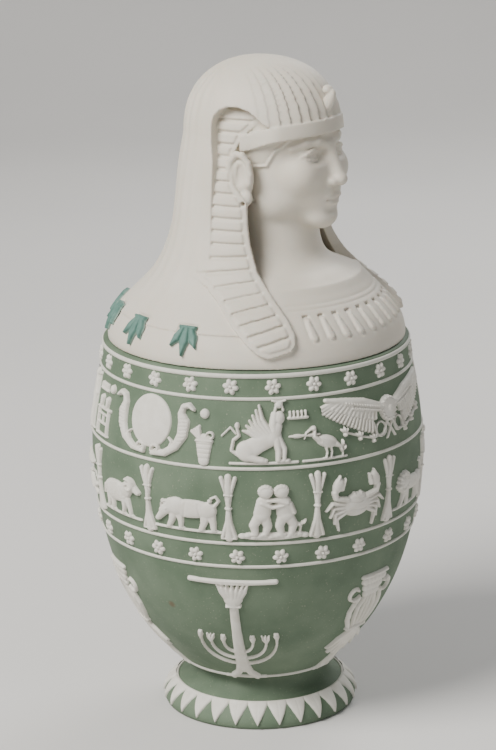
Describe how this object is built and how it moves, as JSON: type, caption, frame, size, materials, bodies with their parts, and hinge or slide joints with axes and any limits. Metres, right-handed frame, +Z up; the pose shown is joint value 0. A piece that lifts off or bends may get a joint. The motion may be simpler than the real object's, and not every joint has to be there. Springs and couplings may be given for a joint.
{
  "type": "canopic jar",
  "caption": "Footed stoneware canopic jar with white sprigged Egyptian and zodiac friezes and a lift-off lid shaped as a bust in a headcloth.",
  "frame": {"origin": "centre of the underside of the foot, on the plane it stands on", "axes": "+Z up the jar's axis, -Y the way the bust on the lid faces, +X to the right of someone who looks at the face"},
  "size_m": [0.127, 0.1266, 0.2462],
  "materials": {
    "sage_stoneware": "matt unglazed green stoneware",
    "white_stoneware": "matt unglazed warm white stoneware",
    "sprig_white": "matt white sprigged relief",
    "teal_leaf": "matt blue-green sprigged leaf"
  },
  "bodies": {
    "root": {"altar_far": "sprig_white", "altar_near": "sprig_white", "foot_leaves": "sprig_white", "ibis_far": "sprig_white", "ibis_near": "sprig_white", "jar": "sage_stoneware", "leaf_pendant_1": "teal_leaf", "leaf_pendant_2": "teal_leaf", "leaf_pendant_3": "teal_leaf", "leaf_pendant_4": "teal_leaf", "leaf_pendant_5": "teal_leaf", "leaf_pendant_6": "teal_leaf", "leaf_pendant_7": "teal_leaf", "leaf_pendant_8": "teal_leaf", "leaf_pendant_9": "teal_leaf", "lid": "white_stoneware", "lotus_stand_1": "sprig_white", "lotus_stand_2": "sprig_white", "lotus_stand_3": "sprig_white", "lyre_vase_1": "sprig_white", "lyre_vase_2": "sprig_white", "lyre_vase_3": "sprig_white", "offering_basket_far": "sprig_white", "offering_basket_near": "sprig_white", "sign_aquarius": "sprig_white", "sign_aries": "sprig_white", "sign_cancer": "sprig_white", "sign_capricorn": "sprig_white", "sign_gemini": "sprig_white", "sign_leo": "sprig_white", "sign_libra": "sprig_white", "sign_pisces": "sprig_white", "sign_sagittarius": "sprig_white", "sign_scorpio": "sprig_white", "sign_taurus": "sprig_white", "sign_virgo": "sprig_white", "standing_figure_far": "sprig_white", "standing_figure_near": "sprig_white", "sun_serpents_far": "sprig_white", "sun_serpents_near": "sprig_white", "winged_disc_far": "sprig_white", "winged_disc_near": "sprig_white", "winged_sphinx_far": "sprig_white", "winged_sphinx_near": "sprig_white", "zodiac_column_1": "sprig_white", "zodiac_column_10": "sprig_white", "zodiac_column_11": "sprig_white", "zodiac_column_12": "sprig_white", "zodiac_column_2": "sprig_white", "zodiac_column_3": "sprig_white", "zodiac_column_4": "sprig_white", "zodiac_column_5": "sprig_white", "zodiac_column_6": "sprig_white", "zodiac_column_7": "sprig_white", "zodiac_column_8": "sprig_white", "zodiac_column_9": "sprig_white"}
  },
  "joints": []
}
